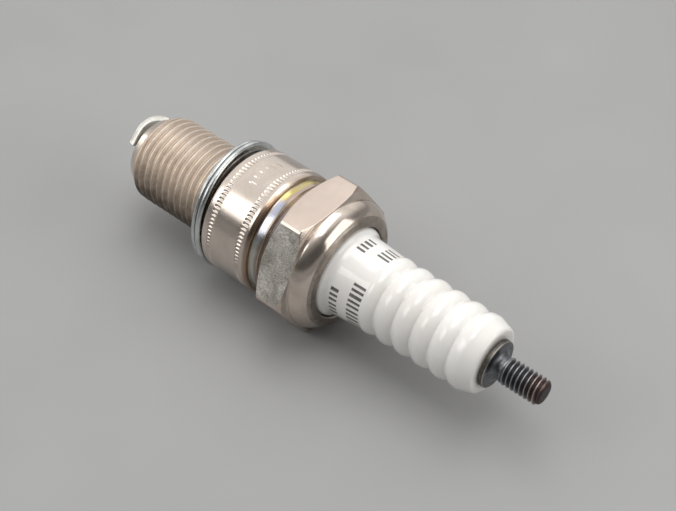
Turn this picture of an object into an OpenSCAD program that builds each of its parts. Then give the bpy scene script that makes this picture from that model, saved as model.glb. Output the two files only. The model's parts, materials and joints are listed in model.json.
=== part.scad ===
// Spark plug with a 14 mm thread, lying on one flat of its hexagon.
// The axis of the plug is the X axis: the firing end points along -X and the terminal along +X.
// The origin is the centre of the seat face, where the collar meets the threaded neck.
// An outline is a list of [radius, station] points, and a station is a distance along X from the seat.

/* [Thread and neck] */
// Crest diameter of the M14 x 1.25 thread
thread_d = 13.88; // [13.7:0.01:13.96]
// Reach: length from the seat face to the end of the shell
reach = 19; // [17:0.5:21]
// Diameter of the plain neck between the thread and the seat
neck_d = 12.2; // [12:0.1:12.6]
// Length of the plain neck
neck_l = 3; // [2.8:0.1:3.4]

/* [Collar and hexagon] */
// Diameter of the knurled collar
collar_d = 19.44; // [19.2:0.02:19.6]
// Station where the collar starts to round down into the shrink groove
collar_end = 8.2; // [7.8:0.1:8.4]
// Diameter at the bottom of the shrink groove
groove_d = 17.9; // [17.6:0.1:18.2]
// Width across the flats of the hexagon
hex_af = 20.8; // [20.6:0.1:20.8]
// Diameter that the hexagon's corners are turned to
hex_corner_d = 23.7; // [23.4:0.1:23.8]
// Station of the rear end of the flats
hex_start = 12.15; // [12:0.05:12.4]
// Station of the front end of the flats
hex_end = 17.3; // [17:0.05:17.5]
// Station of the rim of the rolled lip
lip_end = 20.25; // [20.1:0.05:20.4]

/* [Insulator] */
// Diameter of the insulator where it leaves the lip
head_d = 12.4; // [12.2:0.1:12.8]
// Diameter of the insulator's ribs
rib_d = 11.9; // [11.6:0.1:12.2]
// Diameter at the bottom of the grooves between the ribs
rib_root_d = 10.4; // [10:0.1:10.8]
// Distance from one groove to the next
rib_pitch = 3.08; // [3:0.02:3.14]
// Station of the end face of the insulator
insulator_end = 45.1; // [45:0.1:46]
// Diameter of the hole for the terminal stud
stud_hole_d = 4.3; // [4.2:0.1:4.5]

/* [Terminal stud] */
// Crest diameter of the M4 x 0.7 thread
stud_d = 3.94; // [3.8:0.02:3.98]
// Station of the tip of the stud
stud_end = 53.4; // [52:0.2:54]
// Diameter of the flange that rests on the insulator
flange_d = 7.12; // [6.8:0.1:7.4]
// Thickness of the flange
flange_t = 0.8; // [0.6:0.1:1]

/* [Electrodes] */
// Gap between the two electrodes
spark_gap = 0.75; // [0.5:0.05:1.1]
// Diameter of the centre electrode
centre_d = 2.5; // [2.3:0.1:2.6]
// Width of the ground electrode strap
strap_w = 2.7; // [2.4:0.1:2.9]
// Thickness of the ground electrode strap
strap_t = 1.1; // [1:0.05:1.4]
// Angle of the strap's root round the axis, from +Y towards +Z
strap_angle = 40; // [0:5:360]

/* [Gasket] */
// Outer diameter of the folded gasket
gasket_d = 20; // [19.6:0.1:20.1]
// Inner diameter of the folded gasket
gasket_hole_d = 14.7; // [14.6:0.1:14.8]
// Diameter inside the gasket's thin inner lip, which can't pass over the thread
gasket_lip_d = 13.24; // [13.1:0.02:13.4]
// Thickness of the folded gasket before it is crushed
gasket_t = 1.7; // [1.5:0.1:1.8]
// Turn of the loose gasket about the vertical
gasket_turn = 5; // [0:0.5:5]
// Lean of the loose gasket towards the firing end at its top
gasket_lean = 1.2; // [0:0.1:1.5]

/* [Hidden] */
$fn = 96;

thread_r = thread_d / 2;
collar_r = collar_d / 2;
groove_r = groove_d / 2;
hex_r = hex_af / 2;

// Shell: a plain chamfer leads into the thread, whose crest rises to full size over thread_lead, and the bore
// steps down in stages from the head to the firing end
shell_end_r = 5.5;
shell_chamfer_r = 6.3;
shell_chamfer_l = 1.5;
thread_lead = 2.4;
firing_bore_r = 4.35;
ledge_r = 3.9;
body_bore_r = 5.05;
head_bore_r = 7.85;
ledge_back = -9.1;
ledge_l = 1.9;

// Insulator: the outline fits the shell's bore with a thin gap
slip = 0.08;
nose_tip = -reach - 1.4;
nose_tip_r = 2.45;
nose_root_r = 3.7;
body_r = body_bore_r - slip;
collar_back = 5;
insulator_collar_r = head_bore_r - slip;
shoulder_start = 17.6;
shoulder_r = 7;
shoulder_end = 18.4;
stem_hole_r = centre_d / 2 + 0.05;
stem_shoulder = -5.2;

// Stack inside the insulator
core_start = -reach - 1.3;
electrode_head_end = -3.2;
seal_r = stud_hole_d / 2;
resistor_start = 0.6;
resistor_end = 8.4;
glass_end = 12.4;
shank_tip = 9.8;
shank_tip_r = 1.45;

// Ribs: the first groove is centred at rib_start, and rib_count grooves follow one another
rib_start = 28.7;
rib_count = 5;
rib_taper = 0.04;
head_waist = 26.3;
head_waist_r = 5.8;

// Ground electrode: the strap's inner face is one spark gap beyond the centre electrode, and it sweeps over
// in one wide bend
centre_tip = -reach - 2.75;
strap_inner = centre_tip - spark_gap;
strap_root_r = 4.9;
bend_r = 3.1;
strap_past_axis = 1;

// Upper seal ring: a round wire between the insulator's shoulder and the lip
ring_wire_r = 0.36;

// The loose gasket just clears the seat at its nearest point
gasket_drop = 0.2;
gasket_tilt = sqrt(gasket_turn * gasket_turn + gasket_lean * gasket_lean);
gasket_x = -(gasket_t / 2 * cos(gasket_tilt) + gasket_d / 2 * sin(gasket_tilt) + 0.06);

// Points along an arc about [cr, cx], from angle a0 to a1
function arc(cr, cx, r, a0, a1, n = 8) =
    [for (i = [0:n]) let (a = a0 + (a1 - a0) * i / n) [cr + r * cos(a), cx + r * sin(a)]];

// Radius of the ribbed head: rounded crests with narrow grooves between them
function rib_radius(x) =
    let (turns = (x - rib_start) / rib_pitch,
         crest = rib_d / 2 - rib_taper * max(0, turns),
         wave = turns < -0.5 ? 1 : pow(abs(sin(180 * turns)), 0.75))
    rib_root_d / 2 + (crest - rib_root_d / 2) * wave;

// A solid of revolution about the X axis
module turned(outline) {
    rotate([0, 90, 0])
        rotate_extrude()
            polygon(outline);
}

// Steel shell: thread, neck, knurled collar, shrink groove, hexagon and rolled lip in one piece
module shell() {
    outside = concat(
        [[shell_end_r, -reach], [shell_chamfer_r, -reach + shell_chamfer_l]],
        [[thread_r, -reach + thread_lead], [thread_r, -neck_l - 0.4]],
        [[neck_d / 2, -neck_l], [neck_d / 2, 0], [collar_r - 0.4, 0], [collar_r, 0.45], [collar_r, collar_end]],
        arc(collar_r - 0.8, collar_end, 0.8, 0, 80, 6),
        [[groove_r, collar_end + 1.5], [groove_r, 10.5], [groove_r + 0.25, 11]],
        [[hex_r, hex_start], [hex_corner_d / 2, hex_start + 0.95], [hex_corner_d / 2, hex_end - 0.65]],
        [[hex_r + 0.75, hex_end - 0.15], [hex_r, hex_end + 0.02], [hex_r - 0.25, hex_end + 0.1]],
        arc(7.1, 17.25, 3.05, 4, 60, 10),
        [[8.42, lip_end - 0.22], [8.3, lip_end - 0.14], [7.5, lip_end], [7.32, lip_end - 0.04]],
        [[7.2, lip_end - 0.2], [7.2, lip_end - 0.75]]
    );
    inside = [
        [head_bore_r, lip_end - 1.5], [head_bore_r, 4.6], [body_bore_r, 2.4], [body_bore_r, ledge_back + 1.15],
        [ledge_r, ledge_back], [ledge_r, ledge_back - ledge_l], [firing_bore_r, ledge_back - ledge_l - 0.7],
        [firing_bore_r, -reach]
    ];
    color([0.78, 0.72, 0.66])
        intersection() {
            turned(concat(outside, inside));
            translate([-reach - 1, 0, 0])
                rotate([0, 90, 0])
                    rotate([0, 0, 30])
                        cylinder(h = reach + lip_end + 2, r = hex_r / cos(30), $fn = 6);
        }
}

// Ground electrode: a flat strap welded to the shell's end face and bent over the centre electrode
module ground_electrode() {
    outer_bend = bend_r + strap_t;
    bend_x = strap_inner - strap_t + outer_bend;
    bend_z = strap_root_r + strap_t / 2 - outer_bend;
    color([0.80, 0.79, 0.76])
        rotate([strap_angle - 90, 0, 0]) {
            // Leg
            translate([bend_x, -strap_w / 2, bend_z + bend_r])
                cube([-reach - bend_x, strap_w, strap_t]);
            // Bend
            translate([bend_x, 0, bend_z])
                intersection() {
                    rotate([90, 0, 0])
                        difference() {
                            cylinder(h = strap_w, r = outer_bend, center = true);
                            cylinder(h = strap_w + 1, r = bend_r, center = true);
                        }
                    translate([-outer_bend, -strap_w, 0])
                        cube([outer_bend, 2 * strap_w, outer_bend]);
                }
            // Arm over the centre electrode
            translate([strap_inner - strap_t, -strap_w / 2, -strap_past_axis])
                cube([strap_t, strap_w, bend_z + strap_past_axis]);
        }
}

// Captive gasket: folded steel ring with a rounded rim, loose on the neck and held there by its inner lip
module seat_gasket() {
    rim = gasket_t / 2;
    hole_r = gasket_hole_d / 2;
    lip_r = gasket_lip_d / 2;
    lip_front = rim - 0.1;
    lip_back = lip_front - 0.4;
    color([0.80, 0.81, 0.80])
        translate([gasket_x, 0, -gasket_drop])
            rotate([0, -gasket_lean, gasket_turn])
                turned(concat(
                    arc(gasket_d / 2 - rim, 0, rim, -90, 90, 10),
                    [[hole_r, rim], [hole_r, lip_front], [lip_r, lip_front]],
                    [[lip_r, lip_back], [hole_r, lip_back], [hole_r, -rim]]
                ));
}

// Conical washer between the insulator's lower shoulder and the ledge in the shell
module lower_seal_washer() {
    color([0.72, 0.45, 0.30])
        turned([
            [ledge_r + 0.02, ledge_back + 0.02], [body_r - 0.1, ledge_back + body_r - 0.1 - ledge_r],
            [body_r - 0.1, ledge_back + body_r + 0.3 - ledge_r], [ledge_r + 0.02, ledge_back + 0.42]
        ]);
}

// Wire ring that the lip presses on the insulator's upper shoulder
module upper_seal_ring() {
    color([0.70, 0.68, 0.64])
        turned(arc(7.46, 18.52, ring_wire_r, 0, 345, 23));
}

// Glazed alumina insulator: nose, lower shoulder, body, collar, upper shoulder and ribbed head
module insulator() {
    lower_shoulder = ledge_back + 0.44;
    last_groove = rib_start + (rib_count - 1) * rib_pitch;
    ribs_from = 26.9;
    rib_steps = 60;
    outside = concat(
        [[stem_hole_r, nose_tip], [nose_tip_r - 0.4, nose_tip]],
        arc(nose_tip_r - 0.4, nose_tip + 0.4, 0.4, -60, 0, 3),
        [[nose_root_r, lower_shoulder - 0.3], [nose_root_r, lower_shoulder + nose_root_r - ledge_r]],
        [[body_r, lower_shoulder + body_r - ledge_r], [body_r, collar_back - 2]],
        [[insulator_collar_r, collar_back], [insulator_collar_r, shoulder_start]],
        [[shoulder_r, shoulder_end], [shoulder_r, lip_end - 0.25], [head_d / 2 + 0.15, lip_end + 0.6]],
        [[head_d / 2, lip_end + 1.3], [head_waist_r, head_waist]],
        [for (i = [0:rib_steps]) let (x = ribs_from + (last_groove + 1 - ribs_from) * i / rib_steps)
            [rib_radius(x), x]],
        [[5.72, last_groove + 1.4], [5.72, insulator_end - 2.3]],
        arc(4.55, insulator_end - 0.55, 0.55, 30, 90, 5)
    );
    inside = [
        [seal_r, insulator_end], [seal_r, stem_shoulder + 0.8], [stem_hole_r, stem_shoulder]
    ];
    color([0.96, 0.95, 0.93])
        turned(concat(outside, inside));
}

// Nickel alloy centre electrode: a stem with a blind hole for its copper core and a head on the shoulder
module centre_electrode() {
    stem_r = centre_d / 2;
    core_r = 0.65;
    color([0.62, 0.60, 0.56])
        turned([
            [0, centre_tip], [stem_r - 0.1, centre_tip], [stem_r, centre_tip + 0.1],
            [stem_r, stem_shoulder + 0.06], [seal_r - 0.05, stem_shoulder + 0.86],
            [seal_r - 0.05, electrode_head_end],
            [core_r, electrode_head_end], [core_r, core_start], [0, core_start]
        ]);
}

// Copper core that carries heat away from the tip
module copper_core() {
    color([0.80, 0.45, 0.28])
        turned([[0, core_start], [0.65, core_start], [0.65, electrode_head_end], [0, electrode_head_end]]);
}

// Conductive glass between the centre electrode's head and the resistor
module lower_glass_seal() {
    color([0.35, 0.36, 0.38])
        turned([
            [0, electrode_head_end], [seal_r, electrode_head_end], [seal_r, resistor_start], [0, resistor_start]
        ]);
}

// Resistor rod sealed in the insulator's bore
module resistor() {
    color([0.22, 0.22, 0.23])
        turned([[0, resistor_start], [seal_r, resistor_start], [seal_r, resistor_end], [0, resistor_end]]);
}

// Conductive glass that holds the tip of the terminal stud
module upper_glass_seal() {
    color([0.35, 0.36, 0.38])
        turned([
            [0, resistor_end], [seal_r, resistor_end], [seal_r, glass_end],
            [shank_tip_r, glass_end], [shank_tip_r, shank_tip], [0, shank_tip]
        ]);
}

// Steel terminal stud: tip in the glass, shank, flange, filleted neck and M4 thread
module terminal_stud() {
    flange_front = insulator_end + flange_t;
    flange_r = flange_d / 2;
    neck_r = 1.75;
    fillet = 1.1;
    color([0.24, 0.24, 0.26])
        turned(concat(
            [[0, shank_tip], [shank_tip_r, shank_tip], [shank_tip_r, glass_end], [seal_r - 0.15, glass_end]],
            [[seal_r - 0.15, insulator_end], [flange_r - 0.1, insulator_end], [flange_r, insulator_end + 0.1]],
            [[flange_r, flange_front - 0.1], [flange_r - 0.1, flange_front]],
            arc(neck_r + fillet, flange_front + fillet, fillet, 270, 180, 6),
            [[stud_d / 2, flange_front + fillet + 0.3], [stud_d / 2, stud_end - 0.5]],
            [[stud_d / 2 - 0.5, stud_end], [0, stud_end]]
        ));
}

shell();
ground_electrode();
seat_gasket();
lower_seal_washer();
upper_seal_ring();
insulator();
centre_electrode();
copper_core();
lower_glass_seal();
resistor();
upper_glass_seal();
terminal_stud();
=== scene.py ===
"""Looks of the spark plug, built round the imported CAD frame.

The plug's axis is X, with the firing end at -X and the terminal at +X. A station is a distance along X
from the seat, in millimetres, and an angle is measured round the axis from +Y towards +Z.
"""
import json
import math

import bmesh
import bpy
import numpy as np
from mathutils import Matrix, Vector


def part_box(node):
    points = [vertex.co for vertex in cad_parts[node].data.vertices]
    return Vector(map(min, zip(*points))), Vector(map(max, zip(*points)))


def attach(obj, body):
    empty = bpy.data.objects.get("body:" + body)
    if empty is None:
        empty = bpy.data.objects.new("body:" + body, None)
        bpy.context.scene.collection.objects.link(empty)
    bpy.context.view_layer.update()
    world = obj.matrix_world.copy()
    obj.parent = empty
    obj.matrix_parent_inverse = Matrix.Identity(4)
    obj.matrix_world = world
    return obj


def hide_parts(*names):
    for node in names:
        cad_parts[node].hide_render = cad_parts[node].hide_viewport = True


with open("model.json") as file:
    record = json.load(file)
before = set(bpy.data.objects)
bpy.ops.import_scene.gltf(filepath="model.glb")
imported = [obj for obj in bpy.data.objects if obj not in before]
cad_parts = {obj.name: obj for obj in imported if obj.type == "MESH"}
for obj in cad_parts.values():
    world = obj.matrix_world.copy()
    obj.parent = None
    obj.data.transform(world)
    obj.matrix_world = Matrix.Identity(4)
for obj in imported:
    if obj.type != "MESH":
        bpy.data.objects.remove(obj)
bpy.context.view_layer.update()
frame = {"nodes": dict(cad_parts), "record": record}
MM = 0.001
TAU = 2 * math.pi


def box_mm(node):
    """A CAD node's lowest and highest corners in millimetres."""
    lo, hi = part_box(node)
    return np.array(lo) / MM, np.array(hi) / MM


# ---------------------------------------------------------------- sizes from the frame

shell_lo, shell_hi = box_mm("shell")
stud_lo, stud_hi = box_mm("terminal_stud")
insulator_lo, insulator_hi = box_mm("insulator")
mounts = {m["name"]: m for m in frame["record"]["mounts"]}

SHELL_END = shell_lo[0]                 # free end of the threaded nose
STRAP_OUTER = box_mm("ground_electrode")[0][0]
LIP_END = shell_hi[0]                   # rim of the rolled lip
HEX_R = shell_hi[2]                     # half the width across the flats
CORNER_R = shell_hi[1]                  # radius that the corners are turned to
THREAD_R = mounts["plug_thread"]["dims"]["r_mm"]
STUD_R = mounts["terminal_thread"]["dims"]["r_mm"]
STUD_END = stud_hi[0]
INSULATOR_END = insulator_hi[0]
FLANGE_R = stud_hi[1]
FLOOR_Z = shell_lo[2]                   # the plug lies on one flat


# ---------------------------------------------------------------- mesh helpers

def arc(cr, cx, r, a0, a1, n=8):
    """Points [radius, station] along an arc, as in the part's source."""
    return [(cr + r * math.cos(math.radians(a0 + (a1 - a0) * i / n)),
             cx + r * math.sin(math.radians(a0 + (a1 - a0) * i / n))) for i in range(n + 1)]


def dense(outline, step):
    """The outline with points added so that no stretch is longer than step."""
    out = [outline[0]]
    for (r0, x0), (r1, x1) in zip(outline, outline[1:]):
        n = max(1, math.ceil(math.hypot(r1 - r0, x1 - x0) / step))
        out += [(r0 + (r1 - r0) * i / n, x0 + (x1 - x0) * i / n) for i in range(1, n + 1)]
    return out


def smooth_min(a, b, k):
    """The lesser of a and b, rounded where they cross."""
    h = np.clip(0.5 + 0.5 * (b - a) / k, 0, 1)
    return b + (a - b) * h - k * h * (1 - h)


def smooth_step(a, b, x):
    """0 below a and 1 above b, with a smooth rise between."""
    t = np.clip((np.asarray(x, float) - a) / (b - a), 0, 1)
    return t * t * (3 - 2 * t)


def revolved(name, outline, turns, radius=None, closed=True, place=None):
    """A surface round the X axis. outline is a list of (radius, station), and radius(r, x, angle) may reshape
    it. A point with radius 0 becomes a pole. closed joins the last ring to the first. Gives the object back
    with its cells: for each face its row in the outline, its turn, and the station of its middle."""
    ang = np.arange(turns) * TAU / turns
    verts, rings = [], []
    for r, x in outline:
        if r < 1e-6:
            rings.append([len(verts)])
            verts.append((x, 0.0, 0.0))
            continue
        rr = np.full(turns, r) if radius is None else radius(np.full(turns, r), np.full(turns, x), ang)
        start = len(verts)
        verts += list(zip(np.full(turns, x), rr * np.cos(ang), rr * np.sin(ang)))
        rings.append(list(range(start, start + turns)))
    faces, cells = [], []
    pairs = list(zip(range(len(rings)), range(1, len(rings))))
    if closed:
        pairs.append((len(rings) - 1, 0))
    for i, j in pairs:
        a, b = rings[i], rings[j]
        mid = (outline[i][1] + outline[j][1]) / 2
        for t in range(turns):
            u = (t + 1) % turns
            if len(a) == 1:
                faces.append((a[0], b[t], b[u]))
            elif len(b) == 1:
                faces.append((a[t], b[0], a[u]))
            else:
                faces.append((a[t], b[t], b[u], a[u]))
            cells.append((i, t, mid))
    mesh = bpy.data.meshes.new(name)
    co = np.array(verts) * MM
    if place is not None:
        m = np.array(place)
        co = co @ m[:3, :3].T + m[:3, 3]
    mesh.from_pydata(co.tolist(), [], faces)
    mesh.polygons.foreach_set("use_smooth", [True] * len(mesh.polygons))
    mesh.update()
    obj = bpy.data.objects.new(name, mesh)
    bpy.context.scene.collection.objects.link(obj)
    return obj, cells


def outward(obj):
    """Turns every face outwards."""
    bm = bmesh.new()
    bm.from_mesh(obj.data)
    bmesh.ops.recalc_face_normals(bm, faces=bm.faces)
    bm.to_mesh(obj.data)
    bm.free()


def paint(obj, zones, zone_of):
    """Gives each face the material of its zone. zones holds the materials by name, and zone_of(face) gives
    the name of a face's zone."""
    order = {name: i for i, name in enumerate(zones)}
    for material in zones.values():
        obj.data.materials.append(material)
    faces = range(len(obj.data.polygons))
    obj.data.polygons.foreach_set("material_index", [order[zone_of(face)] for face in faces])


ROOT_FLAT, FLANK = 0.12, 0.80           # widths of a thread's root and flank, as shares of half a pitch
HOLLOW = 1.5                            # power that hollows the flanks
LEAD_IN_TURNS = 0.8


def thread(root, crest, pitch, lead_in, run_out, phase=0.0):
    """radius(r, x, angle) that cuts a right-hand thread between two stations, never outside the outline."""
    def cut(r, x, angle):
        turn = (x / pitch - angle / TAU + phase) % 1.0
        tooth = np.abs(turn - 0.5) * 2                       # 0 in the root, 1 on the crest
        shape = np.clip((tooth - ROOT_FLAT) / FLANK, 0, 1) ** HOLLOW
        start = smooth_step(lead_in, lead_in + LEAD_IN_TURNS * pitch, x)
        stop = smooth_step(run_out - pitch, run_out, x)
        depth = start * (1 - stop)
        return np.minimum(r, crest - (crest - root) * (1 - shape) * depth)
    return cut


# ---------------------------------------------------------------- material helpers

NOISE_SPAN = (0.3, 0.7)                 # most of a noise texture's values lie here


class Tree:
    """A short way to wire a node tree."""

    def __init__(self, tree):
        self.tree = tree

    def add(self, kind, **props):
        n = self.tree.nodes.new(kind)
        for k, v in props.items():
            setattr(n, k, v)
        return n

    def link(self, a, b):
        self.tree.links.new(a, b)

    def put(self, socket, value):
        if isinstance(value, bpy.types.NodeSocket):
            self.link(value, socket)
        else:
            socket.default_value = value

    def math(self, op, a, b=0.0, clamp=False):
        n = self.add("ShaderNodeMath", operation=op, use_clamp=clamp)
        self.put(n.inputs[0], a)
        self.put(n.inputs[1], b)
        return n.outputs[0]

    def ramp(self, value, stops):
        """A colour ramp with stops of (position, colour)."""
        n = self.add("ShaderNodeValToRGB")
        elements = n.color_ramp.elements
        while len(elements) < len(stops):
            elements.new(0.5)
        for element, (position, colour) in zip(elements, stops):
            element.position = position
            element.color = (*colour, 1.0)
        self.link(value, n.inputs[0])
        return n.outputs[0]

    def mix(self, factor, a, b, blend="MIX"):
        """Mixes two colours. A colour is a socket or a tuple of three."""
        n = self.add("ShaderNodeMix", data_type="RGBA", blend_type=blend)
        self.put(n.inputs["Factor"], factor)
        for side, colour in (("A_Color", a), ("B_Color", b)):
            socket = next(i for i in n.inputs if i.identifier == side)
            self.put(socket, (*colour, 1.0) if isinstance(colour, tuple) else colour)
        return next(o for o in n.outputs if o.identifier == "Result_Color")

    def span(self, value, lo, hi, to_lo, to_hi):
        """Maps lo..hi to to_lo..to_hi, clamped at both ends."""
        n = self.add("ShaderNodeMapRange")
        self.link(value, n.inputs["Value"])
        for key, limit in (("From Min", lo), ("From Max", hi), ("To Min", to_lo), ("To Max", to_hi)):
            n.inputs[key].default_value = limit
        return n.outputs[0]

    def separate(self, vector):
        n = self.add("ShaderNodeSeparateXYZ")
        self.link(vector, n.inputs[0])
        return n.outputs


class Nodes(Tree):
    """A material with one shader, wired in object coordinates."""

    def __init__(self, name):
        self.material = bpy.data.materials.new(name)
        self.material.use_nodes = True
        super().__init__(self.material.node_tree)
        self.tree.nodes.clear()
        output = self.add("ShaderNodeOutputMaterial")
        self.shader = self.add("ShaderNodeBsdfPrincipled")
        self.link(self.shader.outputs[0], output.inputs[0])
        self.coord = self.add("ShaderNodeTexCoord").outputs["Object"]

    def mm(self, sx=1.0, sy=1.0, sz=1.0):
        """Object coordinates in millimetres, each axis scaled."""
        n = self.add("ShaderNodeVectorMath", operation="MULTIPLY")
        self.link(self.coord, n.inputs[0])
        n.inputs[1].default_value = (sx / MM, sy / MM, sz / MM)
        return n.outputs[0]

    def noise(self, scale, detail=3.0, rough=0.55, vector=None, distortion=0.0):
        n = self.add("ShaderNodeTexNoise")
        self.link(vector or self.mm(), n.inputs["Vector"])
        n.inputs["Scale"].default_value = scale
        n.inputs["Detail"].default_value = detail
        n.inputs["Roughness"].default_value = rough
        n.inputs["Distortion"].default_value = distortion
        return n.outputs["Fac"]

    def vary(self, value, to_lo, to_hi):
        """Maps the useful middle of a noise to to_lo..to_hi."""
        return self.span(value, *NOISE_SPAN, to_lo, to_hi)

    def bump(self, height, strength, distance_mm):
        n = self.add("ShaderNodeBump")
        n.inputs["Strength"].default_value = strength
        n.inputs["Distance"].default_value = distance_mm * MM
        self.link(height, n.inputs["Height"])
        return n.outputs[0]

    def set(self, **values):
        """Sets the shader's inputs, named with _ for each space, and gives the material back."""
        for name, value in values.items():
            self.put(self.shader.inputs[name.replace("_", " ")], value)
        return self.material


def metal(name, dark, light, rough=(0.2, 0.34), patch=0.35, grain=0.0, turned=0.0, pits=0.0, stain=None,
          spread=(0.35, 0.65), speck=0.0):
    """Plated metal with patchy tone, lathe rings, fine grain, specks and pits, and roughness that follows."""
    n = Nodes(name)
    tone = n.noise(patch, 4.0, 0.6, distortion=0.4)
    colour = n.ramp(tone, [(spread[0], dark), (spread[1], light)])
    fine = n.noise(6.0, 5.0, 0.65)
    if stain:
        spots = n.ramp(n.noise(1.1, 5.0, 0.7, distortion=0.7), [(0.52, (0, 0, 0)), (0.72, (1, 1, 1))])
        colour = n.mix(spots, colour, stain)
    if speck:
        grit = n.span(n.noise(4.5, 3.0, 0.75), 0.36, 0.64, 1.0 - speck, 1.0 + 0.7 * speck)
        colour = n.mix(1.0, colour, grit, blend="MULTIPLY")
    height = n.math("MULTIPLY", fine, grain)
    if turned:
        rings = n.noise(1.0, 3.0, 0.6, vector=n.mm(9.0, 0.12, 0.12))
        height = n.math("ADD", height, n.math("MULTIPLY", rings, turned))
    if pits:
        cell = n.add("ShaderNodeTexVoronoi", feature="F1")
        n.link(n.mm(), cell.inputs["Vector"])
        cell.inputs["Scale"].default_value = 3.4
        pit = n.span(cell.outputs["Distance"], 0.05, 0.35, 0.0, 1.0)
        height = n.math("ADD", height, n.math("MULTIPLY", pit, pits))
    grime = n.math("ADD", n.math("MULTIPLY", fine, 0.5), n.math("MULTIPLY", tone, 0.5))
    return n.set(Base_Color=colour, Metallic=1.0, Roughness=n.vary(grime, *rough),
                 Normal=n.bump(height, 1.0, 0.06))


def worn_and_shaded_thread(name, root_r, crest_r, tones, metallic, rough, stops, tip=None, painted_shade=None):
    """A thread that is darker in the roots and lighter on the crests. tones run from root to crest, at
    stops. tip is another set of tones with the stations between which it takes over. The last argument is a
    tint of painted shade across the thread, darker towards one side with a painted highlight band: a
    direction, the two distances along it that it spans, and its stops."""
    n = Nodes(name)
    x, y, z = n.separate(n.mm())
    radius = n.math("SQRT", n.math("ADD", n.math("MULTIPLY", y, y), n.math("MULTIPLY", z, z)))
    height = n.span(radius, root_r, crest_r - 0.02, 0.0, 1.0)
    # The tone follows the height from root to crest, with noise: darker in the roots, lighter on the crests.
    crest_height = n.math("ADD", height, n.vary(n.noise(2.2, 4.0, 0.6), -0.12, 0.12), clamp=True)
    colour = n.ramp(crest_height, list(zip(stops, tones)))
    if tip:
        tip_tones, tip_from, tip_to = tip
        ragged = n.math("ADD", x, n.vary(n.noise(1.6, 3.0, 0.6), -0.9, 0.9))
        at_tip = n.span(ragged, tip_from, tip_to, 0.0, 1.0)
        colour = n.mix(at_tip, colour, n.ramp(crest_height, list(zip(stops, tip_tones))))
    # Painted shade and painted highlight: a tint across the thread that darkens it towards one side and keeps
    # a band at full tone.
    if painted_shade:
        (dy, dz), shade_from, shade_to, tints = painted_shade
        across = n.math("ADD", n.math("MULTIPLY", y, dy), n.math("MULTIPLY", z, dz))
        across = n.math("ADD", across, n.vary(n.noise(0.6, 4.0, 0.6), -0.8, 0.8))
        tint = n.ramp(n.span(across, shade_from, shade_to, 0.0, 1.0), tints)
        colour = n.mix(1.0, colour, tint, blend="MULTIPLY")
    grain = n.noise(7.0, 4.0, 0.6)
    return n.set(Base_Color=colour, Metallic=metallic, Roughness=n.span(crest_height, 0.0, 1.0, *rough),
                 Normal=n.bump(grain, 0.6, 0.03))


def temper_metal():
    """The groove's temper colours in wavy bands along the axis: straw above, blue at the side and silver
    below. The dark brown stops in the side and lower ramps, at the foot of the collar's fillet and in the
    corner before the hexagon, are painted shade."""
    n = Nodes("groove_temper")
    x, y, z = n.separate(n.mm())
    wave = n.vary(n.noise(0.22, 2.0, 0.5), -0.20, 0.20)
    station = n.span(n.math("ADD", x, wave), 8.0, 12.2, 0.0, 1.0)
    straw = n.ramp(station, [
        (0.00, (0.62, 0.53, 0.46)), (0.12, (0.60, 0.51, 0.43)), (0.18, (0.50, 0.41, 0.33)),
        (0.23, (0.46, 0.37, 0.27)), (0.27, (0.56, 0.50, 0.22)), (0.36, (0.60, 0.49, 0.20)),
        (0.45, (0.58, 0.46, 0.21)), (0.50, (0.50, 0.37, 0.33)), (0.58, (0.56, 0.46, 0.39)),
        (1.00, (0.60, 0.51, 0.44))])
    # Painted shade: the dark brown stops of this ramp and the next darken the fillet's foot and the corner
    # before the hexagon on the side and lower parts.
    blue = n.ramp(station, [
        (0.00, (0.60, 0.51, 0.44)), (0.06, (0.50, 0.40, 0.33)), (0.13, (0.31, 0.21, 0.15)),
        (0.23, (0.34, 0.23, 0.15)), (0.27, (0.50, 0.46, 0.44)), (0.35, (0.52, 0.50, 0.58)),
        (0.46, (0.42, 0.46, 0.58)), (0.50, (0.42, 0.43, 0.42)), (0.54, (0.27, 0.21, 0.17)),
        (0.58, (0.34, 0.28, 0.23)), (0.66, (0.52, 0.44, 0.38)), (1.00, (0.58, 0.50, 0.43))])
    silver = n.ramp(station, [
        (0.00, (0.60, 0.51, 0.44)), (0.06, (0.50, 0.40, 0.33)), (0.13, (0.33, 0.25, 0.19)),
        (0.23, (0.30, 0.22, 0.16)), (0.27, (0.44, 0.43, 0.39)), (0.40, (0.47, 0.47, 0.42)),
        (0.48, (0.34, 0.31, 0.27)), (0.54, (0.27, 0.21, 0.17)), (0.66, (0.50, 0.43, 0.37)),
        (1.00, (0.58, 0.50, 0.43))])
    turned = n.span(y, -1.4, -2.4, 0.0, 1.0)
    side = n.math("ADD", turned, n.vary(n.noise(0.35), -0.2, 0.2), clamp=True)
    low = n.span(z, 6.2, 4.6, 0.0, 1.0)
    rough = n.vary(n.noise(3.0, 4.0, 0.6), 0.15, 0.24)
    return n.set(Base_Color=n.mix(low, n.mix(side, straw, blue), silver), Metallic=1.0, Roughness=rough,
                 Normal=n.bump(n.noise(5.0), 0.4, 0.02))


def glaze(name, colour_a, colour_b):
    n = Nodes(name)
    colour = n.ramp(n.noise(0.16, 2.0, 0.5), [(0.35, colour_a), (0.65, colour_b)])
    rough = n.vary(n.noise(1.2, 3.0, 0.5), 0.10, 0.17)
    return n.set(Base_Color=colour, Roughness=rough, Normal=n.bump(n.noise(0.5, 2.0), 0.25, 0.05),
                 Subsurface_Weight=0.12, Subsurface_Radius=(0.0012, 0.0010, 0.0008), Subsurface_Scale=1.0,
                 Coat_Weight=0.6, Coat_Roughness=0.06, IOR=1.55)


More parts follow.
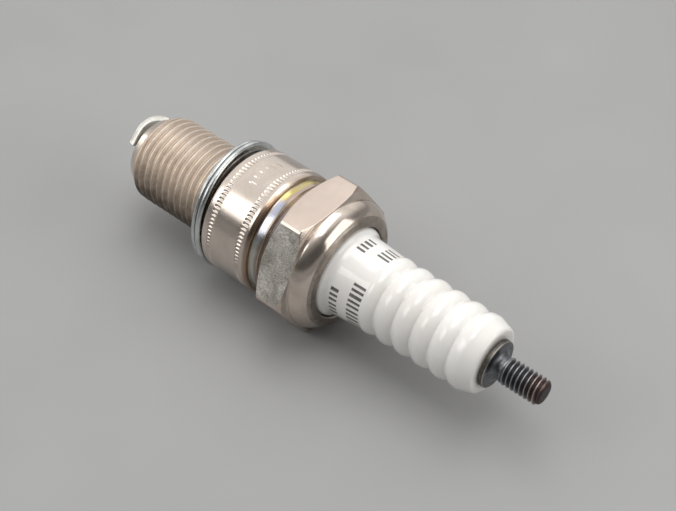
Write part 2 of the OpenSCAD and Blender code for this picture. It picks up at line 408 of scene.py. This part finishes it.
def plain(name, dark, light, metallic, rough, scale=1.5):
    n = Nodes(name)
    tone = n.noise(scale, 4.0, 0.6)
    colour = n.ramp(tone, [(0.35, dark), (0.65, light)])
    return n.set(Base_Color=colour, Metallic=metallic, Roughness=n.vary(tone, *rough),
                 Normal=n.bump(n.noise(5.0), 0.5, 0.03))


THREAD_TONES = ((0.52, 0.40, 0.30), (0.78, 0.625, 0.495), (0.85, 0.70, 0.57), (0.98, 0.89, 0.79))
# Painted shade across the plug's thread: dimmed on top, a painted highlight band at full tone where it faces
# the front light, and darker towards the lower side.
THREAD_PAINTED_SHADE = ((0.05, (0.72, 0.73, 0.74)), (0.36, (0.88, 0.88, 0.87)), (0.48, (1.0, 1.0, 1.0)),
               (0.58, (1.0, 1.0, 1.0)), (0.76, (0.62, 0.61, 0.60)), (0.95, (0.18, 0.17, 0.16)))
STUD_TONES = ((0.03, 0.031, 0.034), (0.11, 0.112, 0.12), (0.24, 0.245, 0.255), (0.42, 0.425, 0.435))
STUD_TIP_TONES = ((0.045, 0.032, 0.03), (0.15, 0.108, 0.10), (0.30, 0.225, 0.205), (0.52, 0.42, 0.385))

M_THREAD = worn_and_shaded_thread("thread_nickel", THREAD_R - 0.62, THREAD_R, THREAD_TONES, metallic=0.38,
                       rough=(0.42, 0.26), stops=(0.0, 0.55, 0.92, 1.0),
                       painted_shade=((-0.85, -0.5), -4.0, 7.0, THREAD_PAINTED_SHADE))
M_COLLAR = metal("collar_nickel", (0.59, 0.515, 0.45), (0.67, 0.585, 0.52), (0.15, 0.23),
                 patch=0.30, grain=0.08, turned=0.08)
M_KNURL = metal("knurl_nickel", (0.57, 0.50, 0.435), (0.67, 0.59, 0.525), (0.18, 0.27), patch=0.5, grain=0.2)
M_TEMPER = temper_metal()
M_HEX = metal("hexagon_smooth", (0.61, 0.51, 0.44), (0.67, 0.565, 0.49), (0.20, 0.28),
              patch=0.12, grain=0.06)
M_ROUGH_FLAT = metal("hexagon_mottled", (0.44, 0.41, 0.37), (0.80, 0.76, 0.70), (0.36, 0.48),
                     patch=0.26, grain=0.9, pits=0.5, stain=(0.34, 0.31, 0.27), spread=(0.38, 0.62),
                     speck=0.30)
M_DOME = metal("dome_polished", (0.57, 0.49, 0.425), (0.70, 0.61, 0.535), (0.11, 0.18),
               patch=0.35, grain=0.04, turned=0.08)
M_LIP = metal("lip_nickel", (0.28, 0.24, 0.205), (0.42, 0.37, 0.325), (0.26, 0.36),
              patch=0.5, grain=0.1, turned=0.1)
M_ZINC = metal("gasket_zinc", (0.47, 0.49, 0.485), (0.70, 0.72, 0.71), (0.17, 0.30),
               patch=0.4, grain=0.25, turned=0.12)
# Painted shade: a dark metal for the gasket's slot, its front groove and the face in the gap.
M_GASKET_SHADE = metal("gasket_painted_shade", (0.10, 0.10, 0.10), (0.20, 0.20, 0.19), (0.45, 0.6), patch=0.6)
M_STRAP = metal("electrode_nickel", (0.56, 0.545, 0.50), (0.74, 0.72, 0.665), (0.28, 0.40),
                patch=0.6, grain=0.3)
M_CHAMFER = metal("chamfer_nickel", (0.66, 0.56, 0.47), (0.78, 0.69, 0.60), (0.16, 0.24),
                  patch=0.4, grain=0.05)
M_BORE = metal("bore_nickel", (0.24, 0.20, 0.17), (0.40, 0.35, 0.30), (0.38, 0.5), patch=0.6, grain=0.2)
M_STUD = metal("stud_blackened", (0.085, 0.088, 0.096), (0.19, 0.195, 0.21), (0.26, 0.38),
               patch=0.8, grain=0.3)
M_STUD_RIM = metal("stud_rim", (0.075, 0.068, 0.060), (0.16, 0.148, 0.132), (0.34, 0.48),
                   patch=0.9, grain=0.3)
# Painted highlight: a lighter metal on the flange's bevelled edges, so they read as thin light lines.
M_STUD_EDGE_HIGHLIGHT = metal("stud_edge_highlight", (0.26, 0.25, 0.225), (0.42, 0.40, 0.37), (0.30, 0.42), patch=1.2, grain=0.2)
M_STUD_THREAD = worn_and_shaded_thread("stud_thread", STUD_R - 0.42, STUD_R, STUD_TONES, metallic=0.9,
                            rough=(0.46, 0.30), stops=(0.0, 0.5, 0.86, 1.0),
                            tip=(STUD_TIP_TONES, STUD_END - 2.9, STUD_END - 1.2))
M_GLAZE = glaze("alumina_glaze", (0.87, 0.84, 0.80), (0.91, 0.89, 0.86))
M_PRINT = plain("print_dark", (0.09, 0.08, 0.075), (0.17, 0.155, 0.145),
                metallic=0.0, rough=(0.30, 0.42), scale=2.0)
M_IRON = plain("soft_iron", (0.25, 0.23, 0.21), (0.42, 0.39, 0.36), metallic=1.0, rough=(0.4, 0.55))
M_COPPER = plain("copper", (0.62, 0.30, 0.17), (0.80, 0.46, 0.30), metallic=1.0, rough=(0.3, 0.42))
M_FRIT = plain("conductive_glass", (0.16, 0.16, 0.17), (0.30, 0.30, 0.32), metallic=0.2, rough=(0.3, 0.5))
M_RESISTOR = plain("resistor_body", (0.05, 0.05, 0.055), (0.10, 0.10, 0.105),
                   metallic=0.0, rough=(0.5, 0.7))


def show_as(obj, body, node):
    """The piece stands for this CAD node and rides with the body."""
    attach(obj, body)
    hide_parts(node)


# ---------------------------------------------------------------- shell

NECK_R, NECK_END, COLLAR_R = 6.1, -3.0, 9.72
GROOVE_R, COLLAR_END = 8.95, 8.2
HEX_START, HEX_END = 12.15, 17.3
HEAD_BORE, BODY_BORE, LEDGE_R, FIRING_BORE = 7.85, 5.05, 3.9, 4.35
LEDGE_BACK = -9.1                       # where the ledge that carries the insulator reaches its full depth
CHAMFER_R, THREAD_LEAD = 6.3, 2.4
THREAD_START = SHELL_END + 1.5          # the plain chamfer ends and the thread starts
KNURL_BANDS = ((1.28, 2.18), (6.74, 7.72))
KNURL_DEPTH, KNURL_TEETH, KNURL_RAMP = 0.13, 100, 0.16
PLUG_PITCH, PLUG_THREAD_DEPTH = 1.25, 0.48
SIXTH = TAU / 6
HEX_ROUNDING = 0.07                     # how softly the flats meet the turned corners
NOSE_OUTSIDE_R = 5.9                    # behind the seat, everything further out than this is outside
SHELL_TURNS = 800
# A row of equal plain bars stands for the stamped marks on the collar
STAMP_FROM, STAMP_TO, STAMP_FIRST, STAMP_COUNT = 3.6, 5.4, 70, 6
STAMP_PITCH, STAMP_WIDTH, STAMP_DEPTH, STAMP_RAMP = 6.6, 3.0, 0.08, 0.6


def shell_outline():
    outer = [(FIRING_BORE, SHELL_END), (5.40, SHELL_END), (5.50, SHELL_END + 0.04)]
    outer += dense([(5.50, SHELL_END + 0.04), (CHAMFER_R, THREAD_START), (THREAD_R, SHELL_END + THREAD_LEAD),
                    (THREAD_R, NECK_END - 0.4)], 0.085)[1:]
    outer += [(NECK_R, NECK_END), (NECK_R, -0.12), (NECK_R + 0.12, 0), (COLLAR_R - 0.42, 0)]
    outer += [(COLLAR_R - 0.3, 0.04), (COLLAR_R - 0.06, 0.36), (COLLAR_R, 0.5)]
    outer += dense([(COLLAR_R, 0.5), (COLLAR_R, COLLAR_END)], 0.12)[1:]
    outer += dense([(COLLAR_R, COLLAR_END), (COLLAR_R - 0.16, COLLAR_END + 0.54)], 0.12)[1:]
    outer += [(COLLAR_R - 0.21, COLLAR_END + 0.63), (COLLAR_R - 0.36, COLLAR_END + 0.72),
              (COLLAR_R - 0.62, COLLAR_END + 0.77), (COLLAR_R - 0.72, COLLAR_END + 0.85)]
    outer += dense([outer[-1], (GROOVE_R, COLLAR_END + 1.5), (GROOVE_R, 10.5), (GROOVE_R + 0.25, 11.0),
                    (HEX_R, HEX_START), (CORNER_R, HEX_START + 0.95)], 0.12)[1:]
    outer += dense([(CORNER_R, HEX_START + 0.95), (CORNER_R, HEX_END - 0.65), (HEX_R + 0.75, HEX_END - 0.15),
                    (HEX_R, HEX_END + 0.02), (HEX_R - 0.25, HEX_END + 0.1)], 0.11)[1:]
    outer += arc(7.1, 17.25, 3.05, 4, 59, 26)
    outer += dense([(8.46, LIP_END - 0.24), (8.36, LIP_END - 0.17), (8.28, LIP_END - 0.13), (7.55, LIP_END),
                    (7.38, LIP_END - 0.01), (7.26, LIP_END - 0.08), (7.2, LIP_END - 0.2),
                    (7.2, LIP_END - 0.75)], 0.12)
    inner = [(HEAD_BORE, LIP_END - 1.5), (HEAD_BORE, 4.6), (BODY_BORE, 2.4), (BODY_BORE, -7.95),
             (LEDGE_R, LEDGE_BACK), (LEDGE_R, -11.0), (FIRING_BORE, -11.7)]
    return outer + inner, len(outer)


thread_cut = thread(THREAD_R - PLUG_THREAD_DEPTH, THREAD_R, PLUG_PITCH, THREAD_START - 0.3, NECK_END - 0.1)


def band(x, lo, hi, ramp):
    """1 between two stations, with a smooth ramp inside each end."""
    return smooth_step(lo, lo + ramp, x) * (1 - smooth_step(hi - ramp, hi, x))


def from_flat(angle):
    """The angle from the middle of the nearest flat. One flat faces up."""
    return (angle - TAU / 4 + SIXTH / 2) % SIXTH - SIXTH / 2


def shell_radius(r, x, angle):
    """Cuts the thread, the knurls, the stamped bars and the flats into the turned outline."""
    if x[0] <= NECK_END and r[0] > NOSE_OUTSIDE_R:
        return thread_cut(r, x, angle)
    if r[0] > COLLAR_R - 0.01:
        for lo, hi in KNURL_BANDS:
            if lo <= x[0] <= hi:
                tooth = np.abs((angle * KNURL_TEETH / TAU) % 1.0 - 0.5) * 2
                return r - KNURL_DEPTH * band(x, lo, hi, KNURL_RAMP) * smooth_step(0.25, 0.75, tooth)
        if STAMP_FROM <= x[0] <= STAMP_TO:
            along = np.degrees(angle) - STAMP_FIRST
            in_bar = STAMP_WIDTH / 2 - np.abs(along % STAMP_PITCH - STAMP_WIDTH / 2)
            in_row = (along >= 0) & (along < STAMP_COUNT * STAMP_PITCH)
            edge = band(x, STAMP_FROM, STAMP_TO, STAMP_RAMP)
            return r - STAMP_DEPTH * edge * in_row * smooth_step(0.0, 1.2, in_bar)
    if HEX_START - 0.4 < x[0] < LIP_END and r[0] > HEX_R - 0.6:
        return smooth_min(r, HEX_R / np.cos(from_flat(angle)), HEX_ROUNDING)
    return r


shell_line, outer_rows = shell_outline()
shell, shell_cells = revolved("shell_body", shell_line, SHELL_TURNS, shell_radius)
SHELL_ZONES = {"thread": M_THREAD, "collar": M_COLLAR, "knurl": M_KNURL, "groove": M_TEMPER, "hexagon": M_HEX,
               "mottled": M_ROUGH_FLAT, "dome": M_DOME, "lip": M_LIP, "bore": M_BORE, "chamfer": M_CHAMFER}
MOTTLED_FLATS = (1, 4)                  # counted round from the top one


def shell_zone(face):
    row, turn, x = shell_cells[face]
    if row >= outer_rows - 1:
        return "bore"
    if x < THREAD_START:
        return "chamfer"
    if x < NECK_END + 0.1:
        return "thread"
    if x < 0.02:
        return "collar"
    if x < COLLAR_END:
        return "knurl" if any(lo <= x <= hi for lo, hi in KNURL_BANDS) else "collar"
    if x < HEX_START - 0.05:
        return "groove"
    angle = (turn + 0.5) * TAU / SHELL_TURNS
    off = from_flat(angle)
    on_flat = shell_line[row][0] > HEX_R / math.cos(off) + 0.01
    if x < HEX_END + 0.4 and on_flat:
        flat = round((angle - TAU / 4 - off) / SIXTH) % 6
        return "mottled" if flat in MOTTLED_FLATS else "hexagon"
    if x < HEX_END - 0.2:
        return "hexagon"
    return "lip" if x > LIP_END - 0.42 else "dome"


paint(shell, SHELL_ZONES, shell_zone)
outward(shell)
show_as(shell, "plug", "shell")

# ---------------------------------------------------------------- insulator

NOSE_TIP, NOSE_TIP_R, NOSE_ROOT_R = insulator_lo[0], 2.45, 3.7
STEM_HOLE_R, SEAL_R = 1.30, 2.15
NOSE_EDGE_R = 0.4
BODY_R, BELT_R, SHOULDER_R, SHOULDER_END = 4.97, 7.77, 7.0, 18.4
RIB_START, RIB_PITCH, RIB_COUNT = 28.7, 3.08, 5
RIB_R, RIB_ROOT_R, RIB_TAPER = 5.95, 5.2, 0.04


def rib_radius(x):
    """The ribs stand between round-bottomed grooves and get slightly smaller towards the terminal."""
    turns = (x - RIB_START) / RIB_PITCH
    crest = RIB_R - RIB_TAPER * max(0.0, turns)
    wave = 1.0 if turns < -0.5 else abs(math.sin(math.pi * turns)) ** 0.75
    return RIB_ROOT_R + (crest - RIB_ROOT_R) * wave


def insulator_outline():
    last_groove = RIB_START + (RIB_COUNT - 1) * RIB_PITCH
    lower_shoulder = LEDGE_BACK + 0.44
    line = [(STEM_HOLE_R, NOSE_TIP), (NOSE_TIP_R - NOSE_EDGE_R, NOSE_TIP)]
    line += arc(NOSE_TIP_R - NOSE_EDGE_R, NOSE_TIP + NOSE_EDGE_R, NOSE_EDGE_R, -60, 0, 6)
    line += [(NOSE_ROOT_R, lower_shoulder - 0.3), (NOSE_ROOT_R, lower_shoulder + NOSE_ROOT_R - LEDGE_R),
             (BODY_R, lower_shoulder + BODY_R - LEDGE_R), (BODY_R, 3.0), (BELT_R, 5.0), (BELT_R, 17.6),
             (SHOULDER_R, SHOULDER_END)]
    line += dense([(SHOULDER_R, SHOULDER_END), (SHOULDER_R, LIP_END - 0.25)], 0.3)[1:]
    line += [(6.72, LIP_END + 0.12), (6.50, LIP_END + 0.35), (6.35, LIP_END + 0.6), (6.26, LIP_END + 0.9)]
    line += dense([(6.2, LIP_END + 1.3), (5.85, 25.9), (5.82, 26.5)], 0.12)
    line += [(5.86, 26.75)]
    line += [(rib_radius(x), x) for x in np.arange(26.95, last_groove + 1.0, 0.12)]
    line += [(5.70, last_groove + 1.25)]
    line += dense([(5.72, last_groove + 1.5), (5.72, INSULATOR_END - 2.3)], 0.4)
    line += dense([(5.70, INSULATOR_END - 2.15), (5.10, INSULATOR_END - 0.42)], 0.25)
    line += arc(4.55, INSULATOR_END - 0.55, 0.55, 25, 90, 9)
    return line + [(SEAL_R, INSULATOR_END), (SEAL_R, -4.4), (STEM_HOLE_R, -5.2)]


INSULATOR_TURNS = 288
insulator_line = insulator_outline()
insulator, insulator_cells = revolved("insulator_body", insulator_line, INSULATOR_TURNS)

# Generic printed marks: rows of equal plain bars round the head. Each row has a first and last station, the
# angle of its first bar, and the number of bars
PRINT_ROWS = ((21.5, 23.0, 65, 4), (24.5, 26.6, 56, 4), (24.5, 26.6, 132, 10), (21.4, 22.9, 153, 6))
BAR_PITCH, BAR_WIDTH = 8.0, 4.0
PRINT_OUTSIDE_R = 5.3                   # keeps the bars off the bore


def insulator_zone(face):
    row, turn, x = insulator_cells[face]
    if insulator_line[row][0] < PRINT_OUTSIDE_R:
        return "glaze"
    angle = (turn + 0.5) * 360 / INSULATOR_TURNS
    for lo, hi, first, count in PRINT_ROWS:
        along = angle - first
        if lo <= x <= hi and 0 <= along < count * BAR_PITCH and along % BAR_PITCH < BAR_WIDTH:
            return "print"
    return "glaze"


paint(insulator, {"glaze": M_GLAZE, "print": M_PRINT}, insulator_zone)
outward(insulator)
show_as(insulator, "plug", "insulator")

# ---------------------------------------------------------------- terminal stud

flange_front = INSULATOR_END + 0.8
STUD_NECK_R, FILLET_R = 1.75, 1.1
SHANK_TIP, SHANK_TIP_R, SHANK_R, GLASS_END = stud_lo[0], 1.45, 2.0, 12.4
STUD_PITCH, STUD_THREAD_DEPTH, STUD_PHASE, STUD_TURNS = 0.7, 0.40, 0.3, 192
STUD_FACE_R = 1.4                       # the thread isn't cut into the end face inside this radius
thread_from = flange_front + FILLET_R


def stud_outline():
    line = [(0, SHANK_TIP), (SHANK_TIP_R, SHANK_TIP), (SHANK_TIP_R, GLASS_END), (SHANK_R, GLASS_END),
            (SHANK_R, INSULATOR_END), (FLANGE_R - 0.12, INSULATOR_END),
            (FLANGE_R - 0.03, INSULATOR_END + 0.03), (FLANGE_R, INSULATOR_END + 0.12),
            (FLANGE_R, flange_front - 0.13), (FLANGE_R - 0.03, flange_front - 0.04),
            (FLANGE_R - 0.13, flange_front)]
    line += arc(STUD_NECK_R + FILLET_R, thread_from, FILLET_R, 270, 180, 14)
    line += dense([(STUD_R, thread_from + 0.3), (STUD_R, STUD_END - 0.5), (STUD_R - 0.42, STUD_END - 0.06),
                   (STUD_R - 0.52, STUD_END)], 0.05)
    return line + [(0.8, STUD_END), (0, STUD_END)]


stud_cut = thread(STUD_R - STUD_THREAD_DEPTH, STUD_R, STUD_PITCH, thread_from + 0.1, STUD_END + 0.5,
                  STUD_PHASE)


def stud_radius(r, x, angle):
    threaded = x[0] > thread_from + 0.05 and r[0] > STUD_FACE_R
    return stud_cut(r, x, angle) if threaded else r


stud_line = stud_outline()
stud, stud_cells = revolved("stud_body", stud_line, STUD_TURNS, stud_radius, closed=False)


def stud_zone(face):
    row, _, x = stud_cells[face]
    if x > thread_from + 0.1:
        return "thread"
    if stud_line[row][0] > FLANGE_R - 0.14 and INSULATOR_END < x < flange_front:
        # The flange's bevelled edges take the painted highlight.
        return "rim" if INSULATOR_END + 0.12 < x < flange_front - 0.13 else "edge highlight"
    return "plain"


STUD_ZONES = {"plain": M_STUD, "rim": M_STUD_RIM, "edge highlight": M_STUD_EDGE_HIGHLIGHT, "thread": M_STUD_THREAD}
paint(stud, STUD_ZONES, stud_zone)
outward(stud)
show_as(stud, "plug", "terminal_stud")

# ---------------------------------------------------------------- gasket

GASKET_T, GASKET_R, GASKET_HOLE_R, GASKET_LIP_R = 1.7, 10.0, 7.35, 6.62
GASKET_TURN, GASKET_LEAN, GASKET_DROP = math.radians(5), math.radians(1.2), 0.2
GASKET_GAP, GASKET_TURNS = 0.06, 240
GASKET_HALF = GASKET_T / 2


def gasket_outline():
    """A folded ring with an inner lip on the collar's side, a slot in its round rim, and a groove in each
    face."""
    front, back = -GASKET_HALF, GASKET_HALF
    hole, lip = GASKET_HOLE_R, GASKET_LIP_R
    line = [(hole + 0.10, back - 0.05), (hole, back - 0.1), (lip + 0.08, back - 0.1), (lip, back - 0.18),
            (lip, back - 0.42), (lip + 0.08, back - 0.5), (hole, back - 0.5), (hole, front + 0.25),
            (hole + 0.10, front + 0.05), (hole + 0.35, front)]
    line += [(8.3, front), (8.42, front + 0.10), (8.54, front)]
    line += arc(9.38, front + 0.44, 0.44, -90, 40, 9)
    line += [(9.50, -0.08), (9.46, -0.02), (9.50, 0.04)]
    line += arc(9.53, back - 0.47, 0.47, -38, 90, 9)
    return line + [(8.75, back), (8.63, back - 0.10), (8.51, back), (hole + 0.35, back)]


def gasket_place():
    """The gasket leans until its edge touches the collar, and sits a little low on the neck."""
    tilt = math.hypot(GASKET_TURN, GASKET_LEAN)
    x = -(GASKET_HALF * math.cos(tilt) + GASKET_R * math.sin(tilt) + GASKET_GAP)
    turned = Matrix.Rotation(GASKET_TURN, 4, "Z") @ Matrix.Rotation(-GASKET_LEAN, 4, "Y")
    return Matrix.Translation((x * MM, 0, -GASKET_DROP * MM)) @ turned


gasket_line = gasket_outline()
gasket, gasket_cells = revolved("gasket_ring", gasket_line, GASKET_TURNS, place=gasket_place())


def gasket_zone(face):
    """The slot in the rim, the groove in the front face and the face in the gap get painted shade."""
    r, x = gasket_line[gasket_cells[face][0]]
    in_slot = abs(x) < 0.1 and r > 9.4
    in_gap = x > GASKET_HALF - 0.2 and r < 9.3
    in_groove = x < -GASKET_HALF + 0.2 and 8.4 < r < 8.5
    return "shaded_recess" if in_slot or in_gap or in_groove else "zinc"


paint(gasket, {"zinc": M_ZINC, "shaded_recess": M_GASKET_SHADE}, gasket_zone)
outward(gasket)
show_as(gasket, "gasket", "seat_gasket")

# ---------------------------------------------------------------- ground electrode

STRAP_W, STRAP_T, STRAP_ANGLE = 2.7, 1.1, 40
STRAP_ROOT, BEND_R = 4.9, 3.1           # from the axis to the centre line at the weld, inside of the bend
PAST = 1.0                              # how far the free end reaches past the axis
STRAP_EDGE_R, BEND_STEPS, EDGE_STEPS, END_RING = 0.22, 24, 3, 0.05


def strap_section():
    """The strap's cross-section: a rectangle with rounded edges, as (across, through) points."""
    flat_w, flat_t = STRAP_W / 2 - STRAP_EDGE_R, STRAP_T / 2 - STRAP_EDGE_R
    section = []
    for across, through, start in ((1, 1, 0), (-1, 1, 90), (-1, -1, 180), (1, -1, 270)):
        for step in range(EDGE_STEPS + 1):
            a = math.radians(start + 90 / EDGE_STEPS * step)
            section.append((across * flat_w + STRAP_EDGE_R * math.cos(a),
                            through * flat_t + STRAP_EDGE_R * math.sin(a)))
    return section


def strap_line():
    """The centre line from the end face, round the bend and over the electrode, as (x, z, angle) points. The
    last short step keeps the shading of the cut end off the strap's sides."""
    mid = BEND_R + STRAP_T / 2
    cx, cz = STRAP_OUTER + STRAP_T + BEND_R, STRAP_ROOT - mid
    line = [(SHELL_END, STRAP_ROOT, 0.0)]
    for step in range(BEND_STEPS + 1):
        a = math.pi / 2 * step / BEND_STEPS
        line.append((cx - mid * math.sin(a), cz + mid * math.cos(a), a))
    return line + [(cx - mid, -PAST + END_RING, math.pi / 2), (cx - mid, -PAST, math.pi / 2)]


def strap():
    """The section swept along the centre line and turned to its place round the axis."""
    line, section = strap_line(), strap_section()
    n = len(section)
    verts = [(x - v * math.sin(a), u, z + v * math.cos(a)) for x, z, a in line for u, v in section]
    faces = []
    for i in range(len(line) - 1):
        for k in range(n):
            m = (k + 1) % n
            faces.append((i * n + k, i * n + m, (i + 1) * n + m, (i + 1) * n + k))
    faces.append(tuple(range(n)))
    faces.append(tuple(range((len(line) - 1) * n, len(line) * n)))
    mesh = bpy.data.meshes.new("ground_strap")
    turn = np.array(Matrix.Rotation(math.radians(STRAP_ANGLE - 90), 3, "X"))
    mesh.from_pydata((np.array(verts) @ turn.T * MM).tolist(), [], faces)
    mesh.polygons.foreach_set("use_smooth", [len(p.vertices) == 4 for p in mesh.polygons])
    obj = bpy.data.objects.new("ground_strap", mesh)
    bpy.context.scene.collection.objects.link(obj)
    obj.data.materials.append(M_STRAP)
    outward(obj)
    return obj


ground = strap()
show_as(ground, "plug", "ground_electrode")

# ---------------------------------------------------------------- CAD nodes that stay

KEPT = {"centre_electrode": M_STRAP, "copper_core": M_COPPER, "lower_glass_seal": M_FRIT,
        "resistor": M_RESISTOR, "upper_glass_seal": M_FRIT, "lower_seal_washer": M_IRON,
        "upper_seal_ring": M_IRON}
for name, material in KEPT.items():
    node = frame["nodes"][name]
    node.data.materials.clear()
    node.data.materials.append(material)

# ---------------------------------------------------------------- floor

FLOOR_HALF_M, FLOOR_CLEARANCE_M = 0.9, 0.00002


def pale_floor():
    n = Nodes("floor_pale")
    colour = n.ramp(n.noise(0.02, 3.0), [(0.35, (0.335, 0.335, 0.335)), (0.65, (0.36, 0.36, 0.36))])
    return n.set(Base_Color=colour, Roughness=0.85, Normal=n.bump(n.noise(1.5, 4.0), 0.15, 0.1))


def lay_floor():
    mesh = bpy.data.meshes.new("floor")
    corners = [(x * FLOOR_HALF_M, y * FLOOR_HALF_M, 0) for x, y in ((-1, -1), (1, -1), (1, 1), (-1, 1))]
    mesh.from_pydata(corners, [], [(0, 1, 2, 3)])
    floor = bpy.data.objects.new("floor", mesh)
    bpy.context.scene.collection.objects.link(floor)
    floor.location = (0, 0, FLOOR_Z * MM - FLOOR_CLEARANCE_M)
    floor.data.materials.append(pale_floor())


lay_floor()

# ---------------------------------------------------------------- studio light

SKY_AXIS = (-0.55, 0.40, 0.73)          # towards the bright part of the sky
SKY_TONES = ((0.0, 0.11), (0.15, 0.17), (0.40, 0.35), (0.62, 0.88), (0.76, 1.05), (1.0, 1.05))
HORIZON_BAND = (0.18, 0.40)             # heights between which the pale backdrop fades out
HORIZON_TONE = 0.31


def studio_sky():
    """A grey sky that is bright on one side, over a pale backdrop at the horizon."""
    world = bpy.data.worlds.new("studio")
    bpy.context.scene.world = world
    world.use_nodes = True
    n = Tree(world.node_tree)
    direction = n.add("ShaderNodeTexCoord").outputs["Generated"]
    across = n.add("ShaderNodeVectorMath", operation="DOT_PRODUCT")
    n.link(direction, across.inputs[0])
    across.inputs[1].default_value = SKY_AXIS
    sky = n.ramp(across.outputs["Value"], [(stop, (tone, tone, tone)) for stop, tone in SKY_TONES])
    horizon = n.span(n.separate(direction)[2], *HORIZON_BAND, HORIZON_TONE, 0.0)
    n.link(n.mix(1.0, sky, horizon, blend="LIGHTEN"), world.node_tree.nodes["Background"].inputs["Color"])


STUDIO_CENTRE, SOFTBOX_DISTANCE = Vector((15, 0, 0)), 420
WARM_WHITE, SOFT_WHITE, WHITE = (1.0, 0.99, 0.97), (1.0, 0.995, 0.985), (1, 1, 1)

# Name, direction from the plug, width and height in millimetres, power in watts, colour
SOFTBOXES = (
    ("top_softbox", (-0.06, 0.16, 0.98), (220, 380), 0.66, WARM_WHITE),
    ("right_softbox", (0.82, 0.31, 0.48), (340, 300), 0.60, WARM_WHITE),
    ("front_softbox", (-0.46, -0.60, 0.65), (190, 210), 0.26, SOFT_WHITE),
    ("left_softbox", (-0.99, -0.07, 0.08), (190, 100), 0.16, WHITE))


def softbox(name, direction, size, power, colour):
    light = bpy.data.lights.new(name, "AREA")
    light.shape, light.size, light.size_y = "RECTANGLE", size[0] * MM, size[1] * MM
    light.energy, light.color = power, colour
    obj = bpy.data.objects.new(name, light)
    bpy.context.scene.collection.objects.link(obj)
    place = STUDIO_CENTRE + Vector(direction).normalized() * SOFTBOX_DISTANCE
    obj.location = place * MM
    obj.rotation_euler = (STUDIO_CENTRE - place).to_track_quat("-Z", "Y").to_euler()


studio_sky()
for box in SOFTBOXES:
    softbox(*box)

# ---------------------------------------------------------------- camera

CAMERA_LENS, SENSOR_WIDTH, CAMERA_DISTANCE = 71.94, 36, 192.5
CAMERA_AZIMUTH, CAMERA_ELEVATION, CAMERA_ROLL = 41.765, 46.525, -1.12
CAMERA_TARGET = (16.7, 1.4, 0.0)


def aim_camera():
    """The camera looks down at the target, from between +X and -Y."""
    data = bpy.data.cameras.new("camera")
    data.lens, data.sensor_width = CAMERA_LENS, SENSOR_WIDTH
    data.clip_start, data.clip_end = 0.005, 10
    camera = bpy.data.objects.new("camera", data)
    bpy.context.scene.collection.objects.link(camera)
    az, el = math.radians(CAMERA_AZIMUTH), math.radians(CAMERA_ELEVATION)
    back = Vector((math.sin(az) * math.cos(el), -math.cos(az) * math.cos(el), math.sin(el)))
    camera.location = (Vector(CAMERA_TARGET) + back * CAMERA_DISTANCE) * MM
    roll = Matrix.Rotation(math.radians(CAMERA_ROLL), 4, "Z").to_quaternion()
    camera.rotation_mode = "QUATERNION"
    camera.rotation_quaternion = (-back).to_track_quat("-Z", "Y") @ roll
    bpy.context.scene.camera = camera


aim_camera()
bpy.context.scene.view_settings.view_transform = "Standard"
